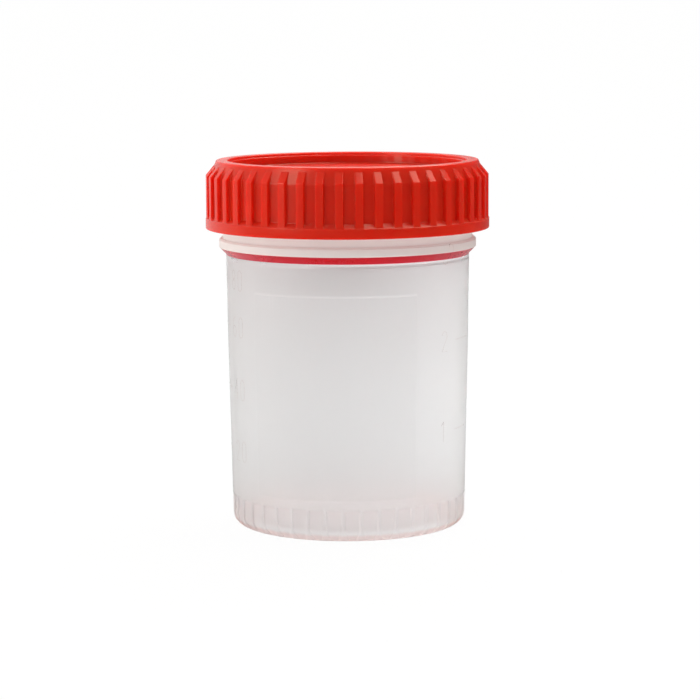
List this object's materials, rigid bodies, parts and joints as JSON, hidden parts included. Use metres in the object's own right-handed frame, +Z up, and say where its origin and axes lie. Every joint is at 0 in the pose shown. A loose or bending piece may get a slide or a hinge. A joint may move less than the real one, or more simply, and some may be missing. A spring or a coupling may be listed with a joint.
{
  "type": "specimen container",
  "caption": "Screw-capped specimen container: straight translucent cup with a moulded scale, sealing ring and ribbed red screw cap with a stacking recess.",
  "frame": {"origin": "centre of the circle on which the foot stands", "axes": "+Z up along the container's axis, -Y towards the viewer of the picture, with the scale in ounces on the +X side"},
  "size_m": [0.0572, 0.0572, 0.074],
  "materials": {
    "cup": "translucent natural polypropylene, satin",
    "screw_cap": "opaque red moulded plastic, soft gloss",
    "seal_ring": "off-white soft sealing foam"
  },
  "bodies": {
    "cup": {"cup": "cup"},
    "seal": {"seal_ring": "seal_ring"},
    "cap": {"screw_cap": "screw_cap"}
  },
  "joints": [
    {"name": "cap_rise", "type": "slide", "parent": "cup", "child": "seal", "axis": [0, 0, 1], "range_m": [0, 0.012]},
    {"name": "cap_turn", "type": "hinge", "parent": "seal", "child": "cap", "pos_m": [0, 0, 0.065], "axis": [0, 0, 1], "range_deg": [0, 540]}
  ],
  "couplings": [
    {"joint": "cap_rise", "follows": "cap_turn", "m_per_rad": 0.001273}
  ]
}
